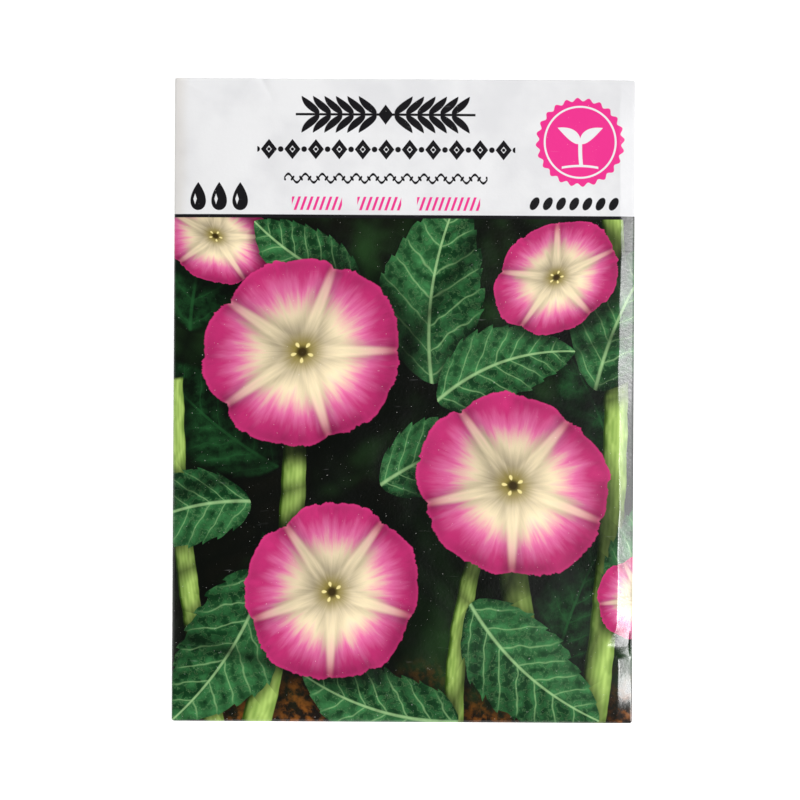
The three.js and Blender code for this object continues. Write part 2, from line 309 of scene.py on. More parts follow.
def sheet_columns():
    back_edge = HALF_WIDTH - BACK_EDGE_INSET
    back = np.linspace(back_edge, -FOLD_X, math.ceil((back_edge + FOLD_X) / BACK_CELL) + 1)
    seam = np.linspace(FOLD_X, FOLD_X - SEAM_FLAP, SEAM_CELLS + 1)
    return [
        *flat_lines("back", -1, FOLD_X, back),
        *fold_lines(-1, FOLD_X),
        *[Line("front", x, x) for x in stretched(COLUMN_STRETCHES, FOLD_X)],
        *fold_lines(1, FOLD_X),
        *flat_lines("seam", 1, FOLD_X, seam),
    ]


def sheet_rows():
    low = np.linspace(-HALF_HEIGHT + BOTTOM_FLAP, -FOLD_Y, FLAP_CELLS + 1)
    high = np.linspace(FOLD_Y, HALF_HEIGHT - TOP_FLAP, FLAP_CELLS + 1)
    return [
        *flat_lines("flap", -1, FOLD_Y, low),
        *fold_lines(-1, FOLD_Y),
        *[Line("body", y, y) for y in stretched(ROW_STRETCHES, FOLD_Y)],
        *fold_lines(1, FOLD_Y),
        *flat_lines("flap", 1, FOLD_Y, high),
    ]


def body_points(column, y):
    if column.panel == "fold":
        reach, level = side_fold(column.side, y, column.step)
        return column.side * (FOLD_X + reach), y, level
    x = np.full_like(y, column.place)
    if column.panel == "back":
        return x, y, back_level(y)
    if column.panel == "seam":
        return x, y, seam_level(y)
    return x, y, front_level(x, y)


def end_points(row, x):
    """A row of an end fold or an end flap, over the front's columns."""
    if row.panel == "fold":
        reach, level = end_fold(row.side, x, row.step)
        return x, row.side * (FOLD_Y + reach), level
    flap = BOTTOM_FLAP if row.side < 0 else TOP_FLAP
    share = (FOLD_Y - abs(row.place)) / (flap - FOLD_REACH)
    tapered = x * (1 - FLAP_TAPER * share / FOLD_X)
    return tapered, np.full_like(x, row.place), np.full_like(x, FLAP_LEVEL)


def corner_point(column, row):
    """Round a corner the side fold passes into the end fold. The larger of the two steps is the
    place on the fold's curve, and the smaller one gives the angle round it."""
    step = max(column.step, row.step)
    smaller = min(column.step, row.step) / step / 2
    share = smaller if column.step == step else 1 - smaller
    beside_reach, beside_level = side_fold(column.side, np.array([row.side * FOLD_Y]), step)
    below_reach, below_level = end_fold(row.side, np.array([column.side * FOLD_X]), step)
    reach = beside_reach[0] + (below_reach[0] - beside_reach[0]) * share
    level = beside_level[0] + (below_level[0] - beside_level[0]) * share
    angle = share * math.pi / 2
    x = column.side * (FOLD_X + reach * math.cos(angle))
    return x, row.side * (FOLD_Y + reach * math.sin(angle)), level


def sheet_grid(columns, rows):
    """Points of the sheet's middle layer, with NaN where the blank is cut away."""
    points = np.full((len(rows), len(columns), 3), np.nan)
    body = [r for r, row in enumerate(rows) if row.panel == "body"]
    body_y = np.array([rows[r].place for r in body])
    for c, column in enumerate(columns):
        points[body, c] = np.stack(body_points(column, body_y), axis=-1)
    front = [c for c, column in enumerate(columns) if column.panel == "front"]
    front_x = np.array([columns[c].place for c in front])
    for r, row in enumerate(rows):
        if row.panel != "body":
            points[r, front] = np.stack(end_points(row, front_x), axis=-1)
        for c, column in enumerate(columns):
            if row.panel == column.panel == "fold" and max(row.step, column.step) <= NOSE_STEP:
                points[r, c] = corner_point(column, row)
    return points


def sheet_normals(points, cells):
    """Each point's normal, from the cells around it."""
    first, second = points[1:, 1:] - points[:-1, :-1], points[1:, :-1] - points[:-1, 1:]
    normal = np.cross(first, second)
    with np.errstate(invalid="ignore"):
        normal /= np.linalg.norm(normal, axis=-1, keepdims=True)
    normal = np.where(cells[..., None], normal, 0.0)
    total = np.zeros_like(points)
    for up, along in ((0, 0), (0, 1), (1, 0), (1, 1)):
        total[up : up + normal.shape[0], along : along + normal.shape[1]] += normal
    length = np.linalg.norm(total, axis=-1, keepdims=True)
    return total / np.where(length > 0, length, 1.0)


PRINTED_FRONT, PRINTED_BACK, BARE_PAPER = range(3)
SHARP_EDGE = math.radians(50)


def build_sheet():
    """The sheet with its thickness. Its UV layer holds the flat sheet's coordinates."""
    columns, rows = sheet_columns(), sheet_rows()
    points = sheet_grid(columns, rows)
    present = ~np.isnan(points[..., 0])
    cells = present[:-1, :-1] & present[1:, :-1] & present[:-1, 1:] & present[1:, 1:]
    normals = sheet_normals(points, cells)
    index = np.full(present.shape, -1)
    index[present] = np.arange(present.sum()) * 2
    outer = points[present] + normals[present] * PAPER / 2
    inner = points[present] - normals[present] * PAPER / 2
    vertices = np.stack([outer, inner], axis=1).reshape(-1, 3) * MM

    whole = np.zeros((len(rows) + 1, len(columns) + 1), bool)
    whole[1:-1, 1:-1] = cells
    faces, slots, prints = [], [], []

    def add_face(corners, slot, places):
        faces.append(corners)
        slots.append(slot)
        prints.extend(places)

    def place(r, c, on_back):
        across = points[r, c, 0] if on_back else columns[c].unrolled
        return across, rows[r].unrolled

    for r, c in np.argwhere(cells):
        corners = [(r, c), (r, c + 1), (r + 1, c + 1), (r + 1, c)]
        ids = [int(index[corner]) for corner in corners]
        column = columns[c]
        on_back = column.panel == "back" or (column.side < 0 and column.step > NOSE_STEP)
        places = [place(*corner, on_back) for corner in corners]
        add_face(ids, PRINTED_BACK if on_back else PRINTED_FRONT, places)
        add_face([i + 1 for i in reversed(ids)], BARE_PAPER, places[::-1])
        beyond_sides = [(r, c + 1), (r + 1, c + 2), (r + 2, c + 1), (r + 1, c)]
        for start, end, beyond in zip((0, 1, 2, 3), (1, 2, 3, 0), beyond_sides):
            if not whole[beyond]:
                a, b = ids[start], ids[end]
                wall = [b, a, a + 1, b + 1]
                add_face(wall, BARE_PAPER, [places[end], places[start], places[start], places[end]])

    mesh = bpy.data.meshes.new("folded_sheet")
    mesh.from_pydata(vertices.tolist(), [], faces)
    mesh.polygons.foreach_set("material_index", slots)
    layer = mesh.uv_layers.new(name="Print")
    layer.data.foreach_set("uv", np.array(prints, dtype=np.float32).ravel())
    mesh.shade_smooth()
    mesh.set_sharp_from_angle(angle=SHARP_EDGE)
    return add_object("folded_sheet", mesh)


def add_object(name, mesh):
    piece = bpy.data.objects.new(name, mesh)
    bpy.context.scene.collection.objects.link(piece)
    return piece


def operation(name):
    """A Field's method that writes one arithmetic node."""
    return lambda field, *others: field.pen.math(name, field, *others)


class Field:
    """A number that varies over a surface. Its arithmetic becomes shader nodes."""

    def __init__(self, pen, socket):
        self.pen = pen
        self.socket = socket

    __add__ = __radd__ = operation("ADD")
    __sub__ = operation("SUBTRACT")
    __mul__ = __rmul__ = operation("MULTIPLY")
    __truediv__ = operation("DIVIDE")
    __pow__ = operation("POWER")
    __abs__ = operation("ABSOLUTE")
    sin = operation("SINE")
    cos = operation("COSINE")
    sqrt = operation("SQRT")
    fract = operation("FRACT")
    most = operation("MAXIMUM")

    def __rsub__(self, other):
        return self.pen.math("SUBTRACT", other, self)

    def clamped(self):
        return self.pen.math("ADD", self, 0.0, clamp=True)


class Pen:
    """Writes arithmetic and colours into one node tree."""

    def __init__(self, tree):
        self.tree = tree

    def node(self, kind, **settings):
        node = self.tree.nodes.new(kind)
        for name, value in settings.items():
            setattr(node, name, value)
        return node

    def wire(self, socket, value):
        if isinstance(value, Field):
            self.tree.links.new(value.socket, socket)
        elif isinstance(value, bpy.types.NodeSocket):
            self.tree.links.new(value, socket)
        else:
            socket.default_value = value

    def math(self, operation, *values, clamp=False):
        node = self.node("ShaderNodeMath", operation=operation, use_clamp=clamp)
        for socket, value in zip(node.inputs, values):
            self.wire(socket, value)
        return Field(self, node.outputs[0])

    def rise(self, value, low, high):
        """0 at low, 1 at high, smooth between them. low may be the larger."""
        node = self.node("ShaderNodeMapRange", interpolation_type="SMOOTHSTEP")
        self.wire(node.inputs["Value"], value)
        self.wire(node.inputs["From Min"], low)
        self.wire(node.inputs["From Max"], high)
        return Field(self, node.outputs["Result"])

    def length(self, x, y):
        return (x * x + y * y).sqrt()

    def noise(self, x, y, z=0.0, scale=1.0, detail=2.0, roughness=0.5):
        place = self.node("ShaderNodeCombineXYZ")
        for socket, value in zip(place.inputs, (x, y, z)):
            self.wire(socket, value)
        node = self.node("ShaderNodeTexNoise")
        self.wire(node.inputs["Vector"], place.outputs[0])
        self.wire(node.inputs["Scale"], scale)
        self.wire(node.inputs["Detail"], detail)
        self.wire(node.inputs["Roughness"], roughness)
        return Field(self, node.outputs[0])

    def mix(self, under, over, share):
        node = self.node("ShaderNodeMix", data_type="RGBA")
        colours = [s for s in node.inputs if s.type == "RGBA"]
        self.wire(node.inputs[0], share)
        self.wire(colours[0], under)
        self.wire(colours[1], over)
        return next(s for s in node.outputs if s.type == "RGBA")

    def brighten(self, colour, factor):
        node = self.node("ShaderNodeHueSaturation")
        self.wire(node.inputs["Value"], factor)
        self.wire(node.inputs["Color"], colour)
        return node.outputs[0]


def srgb(red, green, blue):
    """A colour given as it looks on screen, 0 to 255, in the linear form that shaders use."""

    def linear(channel):
        share = channel / 255
        return share / 12.92 if share <= 0.04045 else ((share + 0.055) / 1.055) ** 2.4

    return linear(red), linear(green), linear(blue), 1.0


def make_motif(name, sizes, colours, paint):
    """A node group that paints one motif over the colour under it."""
    tree = bpy.data.node_groups.new(name, "ShaderNodeTree")
    tree.interface.new_socket("Under", in_out="INPUT", socket_type="NodeSocketColor")
    for word in colours:
        tree.interface.new_socket(word, in_out="INPUT", socket_type="NodeSocketColor")
    for word in ("x", "y", *sizes):
        tree.interface.new_socket(word, in_out="INPUT", socket_type="NodeSocketFloat")
    tree.interface.new_socket("Result", in_out="OUTPUT", socket_type="NodeSocketColor")
    pen = Pen(tree)
    given = pen.node("NodeGroupInput").outputs
    fields = {word: Field(pen, given[word]) for word in ("x", "y", *sizes)}
    inks = {word: given[word] for word in colours}
    result = paint(pen, given["Under"], **inks, **fields)
    pen.wire(pen.node("NodeGroupOutput").inputs["Result"], result)
    return tree


# The share of the colour under a motif that its coordinates take in.
WAIT = 1e-7


def stamp(pen, motif, under, x, y, **values):
    """Paints a motif with these sizes and colours over what is under it.

    Its coordinates take in a vanishing share of the colour under it. So the renderer works the
    motifs out one after another, and its small memory for a shader's numbers holds out."""
    red = pen.node("ShaderNodeSeparateColor")
    pen.wire(red.inputs[0], under)
    node = pen.node("ShaderNodeGroup", node_tree=motif)
    pen.wire(node.inputs["Under"], under)
    pen.wire(node.inputs["x"], pen.math("MULTIPLY_ADD", red.outputs[0], WAIT, x))
    pen.wire(node.inputs["y"], pen.math("MULTIPLY_ADD", red.outputs[0], WAIT, y))
    for word, value in values.items():
        pen.wire(node.inputs[word], value)
    return node.outputs["Result"]


def turned(x, y, base_x, base_y, angle):
    """Coordinates along and across a line that starts at a base and leaves it at an angle."""
    dx, dy = x - base_x, y - base_y
    cosine, sine = angle.cos(), angle.sin()
    return dx * cosine + dy * sine, dy * cosine - dx * sine


# In the motifs below the plain factors are shares of light, ink and size.
SHADE = srgb(3, 6, 3)
LEAF_TEETH = 9
LEAF_VEINS = 7.5
VEIN_SLANT = 0.9
LEAF_SHADOW = (-3.0, 0.8)
NET_LEVEL = 0.5
NET_WIDTH = 0.022


def paint_leaf(
    pen, under, deep, light, vein, x, y, ruffle, puckers,
    base_x, base_y, angle, length, width, bow, blur,
):
    """A toothed oval leaf with pale veins. It throws a soft shadow on what is under it."""
    along, across = turned(x, y, base_x, base_y, angle)
    s = along / length
    inside = s.clamped()
    t = across / length - bow * inside * (1 - inside) * 4
    half = abs(t)
    shape = (inside**0.62) * ((1 - inside) ** 0.8) * 1.95
    tooth = (s * LEAF_TEETH - half * 3).fract()
    outline = width / length * shape * (0.84 + tooth * 0.1 + ruffle * 0.28)
    depth = (outline - half) * length
    ground = pen.mix(under, SHADE, pen.rise(depth, *LEAF_SHADOW) * 0.78)
    phase = (s - half * VEIN_SLANT) * LEAF_VEINS + ruffle * 0.5
    ridge = abs(phase.fract() - 0.5)
    pillow = 1 - ridge * 2
    veins = pen.rise(ridge, 0.07, 0.0) * pen.rise(depth, -0.4, 2.6) * 0.55
    net = pen.rise(abs(puckers - NET_LEVEL), NET_WIDTH, 0.0) * 0.22
    midrib = pen.rise(half * length, 0.5 - s * 0.3, 0.1)
    side = pen.rise(t, -0.02, 0.02)
    tone = pillow * 0.3 + puckers * 1.5 - 0.72 + side * 0.26
    face = pen.mix(deep, light, tone.clamped())
    face = pen.mix(face, vein, veins.most(midrib).most(net).clamped() * 0.85)
    rounding = pen.rise(half / outline.most(0.001), 1.15, 0.2)
    face = pen.brighten(face, 0.3 + pillow * 0.24 + puckers * 0.62 + rounding * 0.22)
    return pen.mix(ground, face, pen.rise(depth, 0.0, 0.12 + blur))


STEM_RIBS = 7
STEM_FINE_RIBS = 17
STEM_LIT_SIDE = 0.2


def paint_stem(pen, under, edge, light, x, y, ruffle, base_x, base_y, angle, length, width, bow):
    """A ribbed round stalk, a little thinner towards its top."""
    along, across = turned(x, y, base_x, base_y, angle)
    s = (along / length).clamped()
    t = across - bow * s * (1 - s) * 4 + ruffle * 0.6
    half_width = width * (1.15 - s * 0.32)
    q = t / half_width
    ends = pen.rise(along, -0.4, 0.4) * pen.rise(along - length, 0.4, -0.4)
    shadow = pen.rise(abs(t + 0.9) - half_width, 1.9, -0.6) * ends * 0.7
    ground = pen.mix(under, SHADE, shadow)
    ribs = (q * STEM_RIBS + ruffle * 9).sin() * 0.5
    ribs = ribs + (q * STEM_FINE_RIBS - ruffle * 14).sin() * 0.3
    off_light = q + STEM_LIT_SIDE
    roundness = (1 - off_light * off_light * 0.85).most(0.0).sqrt()
    face = pen.mix(edge, light, (roundness * 0.8 + ribs * 0.24 - 0.22 + ruffle * 0.3).clamped())
    face = pen.brighten(face, 0.3 + roundness * 0.68 + ribs * 0.05)
    return pen.mix(ground, face, pen.rise(abs(t) - half_width, 0.1, -0.1) * ends)


PETALS = 5
RIM_FOLDS = 9
RAY_WIDTH = 0.075
LIT_FROM = (-0.6, 0.8)
ANTHER_RING = 0.085
THROAT = srgb(140, 124, 34)
EYE = srgb(40, 26, 8)
POLLEN = srgb(238, 222, 150)


def paint_bloom(
    pen, under, rim_ink, blush_ink, face_ink, x, y,
    centre_x, centre_y, radius, squash, tilt, turn, grain,
):
    """An open trumpet flower with five ribs, pale inside and dark at its ruffled rim."""
    dx, dy = x - centre_x, y - centre_y
    cosine, sine = tilt.cos(), tilt.sin()
    u = (dx * cosine + dy * sine) / radius
    v = (dy * cosine - dx * sine) / (radius * squash)
    r = pen.length(u, v).most(0.001)
    a = pen.math("ARCTAN2", v, u) + turn
    rib = abs((a * (PETALS / 2)).sin())
    ground = pen.mix(under, SHADE, pen.rise(pen.length(u - 0.08, v + 0.12), 1.22, 0.9) * 0.85)
    streak = pen.noise(
        u / r * 5.5, v / r * 5.5, r * 1.3 + grain, scale=1.6, detail=3.0, roughness=0.62
    )
    folds = (a * RIM_FOLDS + streak * 4 + grain).sin()
    rim = 0.9 + (rib**0.6) * 0.07 + folds * 0.014 + (streak - 0.5) * 0.09
    spread = r + (streak - 0.5) * 0.42 + rib * 0.05
    face = pen.mix(face_ink, blush_ink, pen.rise(spread, 0.4, 0.72))
    face = pen.mix(face, rim_ink, pen.rise(spread, 0.62, 0.9) * 0.94)
    off_rib = r * rib * 0.4
    ray_width = RAY_WIDTH - r * 0.06
    ray = pen.rise(off_rib - ray_width, 0.03, -0.01) * pen.rise(r, 0.98, 0.6)
    face = pen.mix(face, face_ink, ray * 0.62)
    groove = pen.rise(off_rib - ray_width, 0.12, 0.02) * pen.rise(off_rib - ray_width, -0.02, 0.02)
    lit = (dx * LIT_FROM[0] + dy * LIT_FROM[1]) / (r * radius)
    near_rim = pen.rise(r, 0.55, 1.0)
    body = 0.9 + rib * 0.12 - groove * 0.22 - lit * (1 - r) * 0.3 + lit * near_rim * 0.2
    body = body + folds * near_rim * 0.1 + (streak - 0.5) * 0.5
    lip = pen.rise(rim - r, 0.05, 0.01)
    body = body + lip * 0.2 - pen.rise(rim - r, 0.15, 0.06) * 0.1
    face = pen.brighten(face, body * pen.rise(r, -0.16, 0.42))
    throat = pen.rise(r + (streak - 0.5) * 0.08, 0.26, 0.06)
    face = pen.mix(face, THROAT, throat * 0.72)
    face = pen.mix(face, EYE, pen.rise(r, ANTHER_RING, 0.03) * 0.92)
    anther = abs((a * (PETALS / 2) + 0.9).sin())
    dots = pen.rise(pen.length(r - ANTHER_RING, anther * 0.06), 0.034, 0.02)
    face = pen.mix(face, POLLEN, dots)
    return pen.mix(ground, face, pen.rise(rim - r, 0.0, 0.014))


LEAF_DEEP = srgb(16, 60, 28)
LEAF_LIGHT = srgb(66, 132, 76)
LEAF_VEIN = srgb(150, 190, 130)
FAR_DEEP = srgb(6, 26, 10)
FAR_LIGHT = srgb(30, 76, 38)
STEM_EDGE = srgb(84, 126, 28)
STEM_LIGHT = srgb(186, 216, 116)
MAGENTA = srgb(176, 34, 98)
ROSE = srgb(222, 108, 160)
CREAM = srgb(240, 222, 184)
NIGHT = srgb(9, 10, 5)
HAZE = srgb(34, 66, 30)
SOIL_DARK = srgb(26, 14, 7)
SOIL_LIGHT = srgb(140, 82, 26)

# The flower bed in the order of painting, from the far leaves to the near blooms.
# A leaf, near or far, and a stem: base x and y, direction in degrees, length, width and bow.
# A bloom: centre x and y, radius, squash, tilt in degrees, and turn in radians.
FLOWER_BED = (
    ("far_leaf", -38, 12, 74, 30, 10, 0.06),
    ("far_leaf", 40, -22, 110, 34, 11, -0.05),
    ("far_leaf", -4, -50, 128, 34, 10, 0.08),
    ("far_leaf", 26, -52, 70, 30, 10, 0.04),
    ("far_leaf", -22, -12, 140, 30, 11, 0.05),
    ("bloom", -33.5, 29.0, 11.5, 0.72, -25, 0.7),
    ("leaf", -8, 20, 148, 22, 8.0, 0.06),
    ("stem", -27, -60, 84, 66, 2.3, -3.0),
    ("stem", -33, -60, 97, 64, 1.7, 2.0),
    ("stem", 26, -60, 96, 56, 2.6, 3.5),
    ("stem", 33, -60, 88, 96, 2.2, -2.5),
    ("stem", 9, -60, 80, 46, 1.6, 2.5),
    ("leaf", 34, 2, 66, 29, 10.0, 0.05),
    ("leaf", -27, -18, 196, 24, 9.0, -0.08),
    ("leaf", 5, 3, 82, 34, 12.0, 0.07),
    ("leaf", 6, 0, 20, 26, 9.0, 0.1),
    ("bloom", 27.0, 22.0, 12.4, 0.78, 35, 0.2),
    ("leaf", 37, -36, 68, 25, 8.5, -0.1),
    ("leaf", -24, -30, 238, 32, 11.5, 0.07),
    ("leaf", 12, -36, 318, 31, 11.0, -0.08),
    ("leaf", -4, -15, 24, 22, 8.5, 0.05),
    ("bloom", -18.0, 8.5, 18.6, 0.93, 20, 0.35),
    ("bloom", 19.5, -15.0, 18.4, 0.9, -30, 1.1),
    ("leaf", 10, -57, 163, 29, 9.5, 0.08),
    ("bloom", -12.5, -34.0, 16.8, 0.95, 60, 0.1),
    ("bloom", 42.5, -35.0, 8.4, 0.95, 0, 0.5),
)
BASED = ("base_x", "base_y", "angle", "length", "width", "bow")
CENTRED = ("centre_x", "centre_y", "radius", "squash", "tilt", "turn")
DEGREES = ("angle", "tilt")
LEAF_INKS = ("deep", "light", "vein")
BLOOM_INKS = ("rim_ink", "blush_ink", "face_ink")
FAR_BLUR = 1.5
EARTH_FROM = (-30.0, -48.0)


def paint_picture(pen, x, y):
    """The picture on the front: a flower bed before dark leaves."""
    leaf = make_motif("leaf", (*BASED, "ruffle", "puckers", "blur"), LEAF_INKS, paint_leaf)
    stem = make_motif("stem", (*BASED, "ruffle"), ("edge", "light"), paint_stem)
    bloom = make_motif("bloom", (*CENTRED, "grain"), BLOOM_INKS, paint_bloom)
    haze = pen.noise(x, y, 5.0, scale=0.055, detail=3.0, roughness=0.55)
    ruffle = pen.noise(x, y, 1.0, scale=0.3, detail=1.0)
    puckers = pen.noise(x, y, 3.0, scale=0.62, detail=3.0, roughness=0.6)

    colour = pen.mix(NIGHT, HAZE, pen.rise(haze, 0.42, 0.7))
    earth = pen.rise(y + haze * 26, *EARTH_FROM)
    soil = pen.mix(SOIL_DARK, SOIL_LIGHT, pen.rise(puckers, 0.4, 0.66))
    colour = pen.mix(colour, soil, earth * 0.9)
    texture = {"ruffle": ruffle, "puckers": puckers}
    near = zip(LEAF_INKS, (LEAF_DEEP, LEAF_LIGHT, LEAF_VEIN))
    far = zip(LEAF_INKS, (FAR_DEEP, FAR_LIGHT, FAR_LIGHT))
    kinds = {
        "leaf": (leaf, BASED, {**texture, "blur": 0.0, **dict(near)}),
        "far_leaf": (leaf, BASED, {**texture, "blur": FAR_BLUR, **dict(far)}),
        "stem": (stem, BASED, {"ruffle": ruffle, "edge": STEM_EDGE, "light": STEM_LIGHT}),
        "bloom": (bloom, CENTRED, dict(zip(BLOOM_INKS, (MAGENTA, ROSE, CREAM)))),
    }
    for kind, *values in FLOWER_BED:
        motif, words, common = kinds[kind]
        given = {**dict(zip(words, values)), **common}
        if motif is bloom:
            given["grain"] = given["centre_x"] * 0.7
        for word in DEGREES:
            if word in given:
                given[word] = math.radians(given[word])
        colour = stamp(pen, motif, colour, x, y, **given)
    return colour


# Places of the heading's ornaments, left to right and bottom to top.
RULE = (32.3, 32.9)
GARLAND = (-19.4, 12.5, 47.4, 54.0)
LOZENGES = (-26.2, 19.6, 42.7, 46.3)
WAVE = (-21.4, 14.7, 38.0, 40.7)
DASHES_Y = (33.7, 36.1)
DASHES_X = ((-20.0, -11.1), (-8.4, -0.6), (2.2, 13.4))
DROPS = (-38.5, -27.3, 33.6, 38.6)
SEEDS = (21.9, 38.3, 33.7, 36.4)
SEAL_CENTRE = (31.1, 46.0)
SEAL_RADIUS = 7.6
BLACK = srgb(22, 21, 24)
PINK = srgb(226, 20, 132)
HEADING_WHITE = srgb(225, 225, 226)
# Painted shade of the heading's crumples.
HEADING_SHADE = srgb(214, 214, 216)
# Painted shade along the left fold, and where it starts.
LEFT_FOLD_SHADE = srgb(204, 197, 187)
LEFT_FOLD_SHADE_FROM = (-37.0, -39.4)
BLEED_END = -HALF_HEIGHT - 3.0
UNPRINTED = srgb(232, 232, 230)
LINE_SOFTNESS = 0.05


def band(pen, value, low, high):
    """1 where the value lies between two limits."""
    return filled(pen, abs(value - (low + high) / 2) - (high - low) / 2)


def filled(pen, distance):
    """1 inside a shape, where the distance to its line is negative, with a fine soft edge."""
    return pen.rise(distance, LINE_SOFTNESS, -LINE_SOFTNESS)


def repeated(value, low, high, count):
    """Distance from the middle of the nearest of a row of equal cells that fills these limits."""
    pitch = (high - low) / count
    return ((value - low) / pitch).fract() * pitch - pitch / 2


# The garland's leaves: where the first one starts, how many there are, how far they lean out, and
# the share of a level distance that is square to a leaf.
FIRST_LEAF = 0.8
LEAF_PAIRS = 6
LEAF_LEAN = 0.9
LEAN_SHARE = 0.74


def paint_garland(pen, colour, x, y):
    """A bold laurel: pairs of leaves that point away from the middle."""
    left, right, low, high = GARLAND
    reach = (high - low) / 2
    half_length = (right - left) / 2
    out = abs(x - (left + right) / 2)
    side = abs(y - (low + high) / 2)
    last_leaf = half_length - reach * LEAF_LEAN
    from_first = out - side * LEAF_LEAN - FIRST_LEAF
    row = last_leaf - FIRST_LEAF
    share = (side / reach).clamped()
    half_width = (share**0.7) * (1 - share) * 2.2
    from_rib = abs(repeated(from_first, 0.0, row, LEAF_PAIRS)) * LEAN_SHARE
    leaf = filled(pen, from_rib - half_width)
    leaf = leaf * band(pen, from_first, 0.0, row) * pen.rise(side, reach, reach - LINE_SOFTNESS)
    spine = pen.rise(side, 0.27, 0.17) * filled(pen, out - half_length)
    heart = filled(pen, out + side * 0.75 - 1.35)
    return pen.mix(colour, BLACK, leaf.most(spine).most(heart))


def paint_lozenges(pen, colour, x, y):
    """A row of diamonds with a dot between each two."""
    left, right, low, high = LOZENGES
    count = 11
    pitch = (right - left) / count
    across = repeated(x, left, right, count)
    up = y - (low + high) / 2
    from_middle = abs(across) * 1.25 + abs(up)
    diamond = filled(pen, from_middle - (high - low) / 2)
    hollow = pen.rise(from_middle - 0.62, -LINE_SOFTNESS, LINE_SOFTNESS)
    core = filled(pen, pen.length(across, up) - 0.3)
    dot = filled(pen, pen.length(pitch / 2 - abs(across), up) - 0.5)
    ink = (diamond * hollow.most(core)).most(dot) * band(pen, x, left, right)
    return pen.mix(colour, BLACK, ink)


def paint_wave(pen, colour, x, y):
    """A thin wavy stalk with a small bead in each bend."""
    left, right, low, high = WAVE
    count = 12
    pitch = (right - left) / count
    wave = ((x - left) * (2 * math.pi / pitch)).sin()
    up = y - (low + high) / 2
    line = pen.rise(abs(up - wave * 0.75) - 0.2, 0.12, -0.04)
    bend = repeated(x + pitch / 4, left, right, count * 2)
    bead = filled(pen, pen.length(bend, up + wave * 0.42) - 0.34)
    return pen.mix(colour, BLACK, line.most(bead) * band(pen, x, left, right))


DASH_PITCH = 1.15
DASH_SLANT = 0.35
DASH_HALF_WIDTH = 0.24


def paint_dashes(pen, colour, x, y):
    """Three groups of slanting pink strokes."""
    low, high = DASHES_Y
    ink = None
    for left, right in DASHES_X:
        count = round((right - left) / DASH_PITCH)
        across = repeated(x - (y - low) * DASH_SLANT, left, right, count)
        group = filled(pen, abs(across) - DASH_HALF_WIDTH) * band(pen, x, left, right)
        ink = group if ink is None else ink.most(group)
    return pen.mix(colour, PINK, ink * band(pen, y, low, high))


def paint_drops(pen, colour, x, y):
    """Three bold seeds, each pointed at the top."""
    left, right, low, high = DROPS
    across = repeated(x, left, right, 3)
    up = (y - low) / (high - low)
    width = (up.clamped() ** 0.5) * (1 - up.clamped()) * 3.6
    drop = filled(pen, abs(across) - width)
    shine = filled(pen, abs(across + 0.55) + abs(up - 0.4) * 1.6 - 0.3)
    ink = drop * (1 - shine) * band(pen, x, left, right) * band(pen, y, low, high)
    return pen.mix(colour, BLACK, ink)


def paint_seed_row(pen, colour, x, y):
    """A row of small seeds, each an oval that slants at 60 degrees."""
    left, right, low, high = SEEDS
    across = repeated(x, left, right, 7)
    up = y - (low + high) / 2
    along, off = across * 0.5 + up * 0.866, across * 0.866 - up * 0.5
    seed = pen.rise(pen.length(along / 1.25, off / 0.72) - 1, 0.06, -0.06)
    return pen.mix(colour, BLACK, seed * band(pen, x, left, right))


SCALLOPS = 24
SCALLOP_DEPTH = 0.3
RING_RADIUS = 6.3
RING_HALF_WIDTH = 0.17


def paint_seal(pen, colour, x, y):
    """A scalloped pink seal with a white ring, and in it a sprout on a bit of ground."""
    dx, dy = x - SEAL_CENTRE[0], y - SEAL_CENTRE[1]
    r = pen.length(dx, dy)
    scallops = (pen.math("ARCTAN2", dy, dx) * SCALLOPS).sin() * SCALLOP_DEPTH
    seal = filled(pen, r - scallops - SEAL_RADIUS)
    colour = pen.mix(colour, PINK, seal)
    ring = filled(pen, abs(r - RING_RADIUS) - RING_HALF_WIDTH)
    bend = (dy + 1) * (dy + 1) * 0.02
    stalk = pen.rise(abs(dx - bend) - 0.32, 0.08, -0.04) * band(pen, dy, -4.4, 0.6)
    side = abs(dx)
    along = side * 0.83 + (dy + 0.2) * 0.56
    off = (dy + 0.2) * 0.83 - side * 0.56
    share = (along / 5.0).clamped()
    bow, half_width = share * (1 - share) * 1.6, (share**0.6) * (1 - share) * 2.9
    leaf = pen.rise(abs(off - bow) - half_width, -0.02, -0.12)
    ground = filled(pen, abs(dy + 4.2 + dx * dx * 0.03) - 0.2)
    ground = ground * pen.rise(side, 3.3, 3.2)
    white = ring.most(stalk).most(leaf).most(ground)
    return pen.mix(colour, HEADING_WHITE, white * seal)


def paint_front(pen, x, y):
    """The whole printed front: heading, rule and picture. The print goes on round the folds, and
    the picture ends a little past the lower one."""
    picture = paint_picture(pen, x, y)
    # Painted shade: the heading's white is greyed in soft clouds, and a little more towards the
    # right, standing in for the shading of the paper's crumples.
    shade_clouds = pen.noise(x, y, 12.0, scale=0.1, detail=3.0, roughness=0.55)
    heading = pen.mix(HEADING_SHADE, HEADING_WHITE, pen.rise(shade_clouds - x * 0.003, 0.3, 0.66))
    # Painted shade: a warm grey along the left fold, where the paper falls away from the light.
    heading = pen.mix(heading, LEFT_FOLD_SHADE, pen.rise(x + shade_clouds * 2, *LEFT_FOLD_SHADE_FROM) * 0.4)
    ornaments = (
        paint_garland, paint_lozenges, paint_wave, paint_dashes, paint_drops, paint_seed_row,
        paint_seal,
    )
    for paint in ornaments:
        heading = paint(pen, heading, x, y)
    above_rule = pen.rise(y - sum(RULE) / 2, -LINE_SOFTNESS, LINE_SOFTNESS)
    colour = pen.mix(picture, heading, above_rule)
    colour = pen.mix(colour, BLACK, band(pen, y, *RULE))
    return pen.mix(colour, UNPRINTED, filled(pen, y - BLEED_END))


